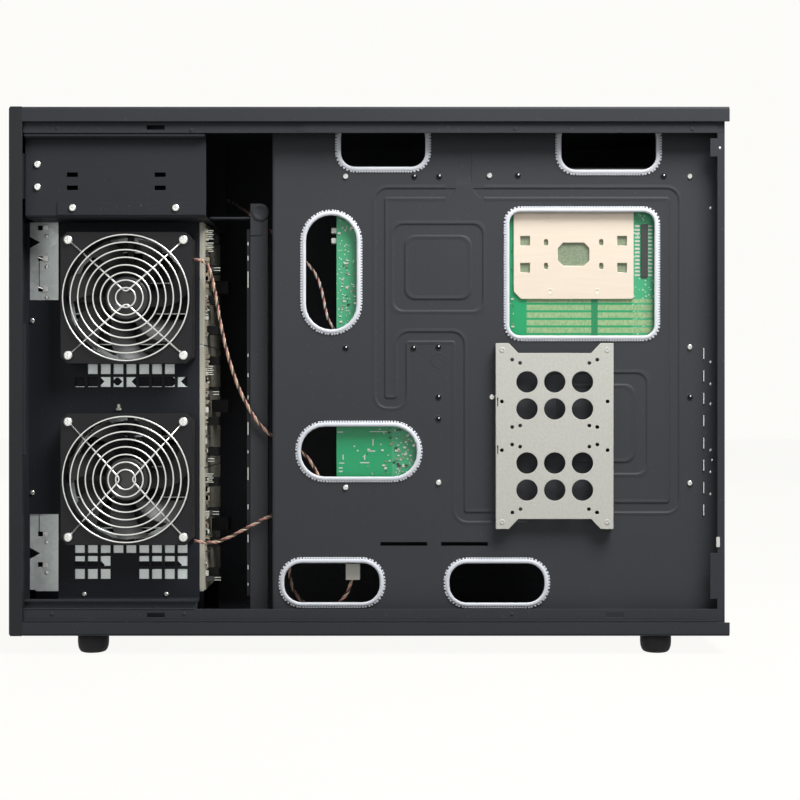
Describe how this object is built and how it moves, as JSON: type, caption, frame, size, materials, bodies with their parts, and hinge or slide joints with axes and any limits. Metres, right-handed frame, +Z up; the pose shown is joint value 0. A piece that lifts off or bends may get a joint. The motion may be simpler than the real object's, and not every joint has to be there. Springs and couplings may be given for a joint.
{
  "type": "tower server case",
  "caption": "Tower server case with one side cover off: black folded chassis, hot-swap drive cage, two side fans, pressed motherboard tray with edged cut-outs.",
  "frame": {"origin": "on the desk under the middle of the case", "axes": "+X to the rear, -Y out of the open right side, +Z up"},
  "size_m": [0.645, 0.21, 0.491],
  "materials": {
    "black_steel": "fine black powder coat on folded steel",
    "black_plastic": "black moulded plastic",
    "tray_steel": "black painted steel carrier",
    "galvanised_steel": "galvanised sheet",
    "grey_steel": "light grey painted steel",
    "nickel": "bright nickel plate",
    "champagne_steel": "brushed plated steel",
    "green_board": "green solder mask",
    "white_edging": "white nylon",
    "black_rubber": "black rubber",
    "lead_sheath": "twisted insulated wire"
  },
  "bodies": {
    "root": {"top_cover": "black_steel", "bottom_cover": "black_steel", "roof_panel": "black_steel", "floor_panel": "black_steel", "rear_panel": "black_steel", "recess_frame": "black_steel", "slot_plate": "black_steel", "left_side_panel": "black_steel", "motherboard_tray": "black_steel", "bay_box": "black_steel", "fan_plate": "black_steel", "centre_post": "black_steel", "post_strip": "black_steel", "bay_cover": "black_steel", "front_bezel": "black_plastic", "upper_fan_frame": "black_plastic", "lower_fan_frame": "black_plastic", "cage_right_wall": "galvanised_steel", "cage_left_wall": "galvanised_steel", "slot_covers": "galvanised_steel", "drive_bracket": "grey_steel", "upper_fan_grille": "nickel", "lower_fan_grille": "nickel", "grille_screws": "nickel", "tray_screws": "nickel", "board_standoffs": "nickel", "cpu_back_plate": "champagne_steel", "mainboard": "green_board", "backplanes": "green_board", "cable_edging": "white_edging", "lead_connector": "white_edging", "rubber_feet": "black_rubber", "upper_fan_lead": "lead_sheath", "lower_fan_lead": "lead_sheath", "panel_lead": "lead_sheath"},
    "drive_tray_01": {"drive_tray_01": "tray_steel"},
    "drive_tray_02": {"drive_tray_02": "tray_steel"},
    "drive_tray_03": {"drive_tray_03": "tray_steel"},
    "drive_tray_04": {"drive_tray_04": "tray_steel"},
    "drive_tray_05": {"drive_tray_05": "tray_steel"},
    "drive_tray_06": {"drive_tray_06": "tray_steel"},
    "drive_tray_07": {"drive_tray_07": "tray_steel"},
    "drive_tray_08": {"drive_tray_08": "tray_steel"},
    "drive_tray_09": {"drive_tray_09": "tray_steel"},
    "drive_tray_10": {"drive_tray_10": "tray_steel"},
    "drive_tray_11": {"drive_tray_11": "tray_steel"},
    "drive_tray_12": {"drive_tray_12": "tray_steel"},
    "upper_fan_rotor": {"upper_fan_rotor": "black_plastic"},
    "lower_fan_rotor": {"lower_fan_rotor": "black_plastic"},
    "power_button": {"power_button": "black_plastic"}
  },
  "joints": [
    {"name": "drive_tray_01_slide", "type": "slide", "parent": "root", "child": "drive_tray_01", "axis": [-1, 0, 0], "range_m": [0, 0.14]},
    {"name": "drive_tray_02_slide", "type": "slide", "parent": "root", "child": "drive_tray_02", "axis": [-1, 0, 0], "range_m": [0, 0.14]},
    {"name": "drive_tray_03_slide", "type": "slide", "parent": "root", "child": "drive_tray_03", "axis": [-1, 0, 0], "range_m": [0, 0.14]},
    {"name": "drive_tray_04_slide", "type": "slide", "parent": "root", "child": "drive_tray_04", "axis": [-1, 0, 0], "range_m": [0, 0.14]},
    {"name": "drive_tray_05_slide", "type": "slide", "parent": "root", "child": "drive_tray_05", "axis": [-1, 0, 0], "range_m": [0, 0.14]},
    {"name": "drive_tray_06_slide", "type": "slide", "parent": "root", "child": "drive_tray_06", "axis": [-1, 0, 0], "range_m": [0, 0.14]},
    {"name": "drive_tray_07_slide", "type": "slide", "parent": "root", "child": "drive_tray_07", "axis": [-1, 0, 0], "range_m": [0, 0.14]},
    {"name": "drive_tray_08_slide", "type": "slide", "parent": "root", "child": "drive_tray_08", "axis": [-1, 0, 0], "range_m": [0, 0.14]},
    {"name": "drive_tray_09_slide", "type": "slide", "parent": "root", "child": "drive_tray_09", "axis": [-1, 0, 0], "range_m": [0, 0.14]},
    {"name": "drive_tray_10_slide", "type": "slide", "parent": "root", "child": "drive_tray_10", "axis": [-1, 0, 0], "range_m": [0, 0.14]},
    {"name": "drive_tray_11_slide", "type": "slide", "parent": "root", "child": "drive_tray_11", "axis": [-1, 0, 0], "range_m": [0, 0.14]},
    {"name": "drive_tray_12_slide", "type": "slide", "parent": "root", "child": "drive_tray_12", "axis": [-1, 0, 0], "range_m": [0, 0.14]},
    {"name": "upper_fan_rotor_spin", "type": "hinge", "parent": "root", "child": "upper_fan_rotor", "pos_m": [-0.2216, -0.06, 0.3214], "axis": [0, 1, 0], "continuous": true},
    {"name": "lower_fan_rotor_spin", "type": "hinge", "parent": "root", "child": "lower_fan_rotor", "pos_m": [-0.2216, -0.06, 0.1561], "axis": [0, 1, 0], "continuous": true},
    {"name": "power_button_press", "type": "slide", "parent": "root", "child": "power_button", "axis": [1, 0, 0], "range_m": [0, 0.002], "stiffness_N_per_m": 400}
  ]
}
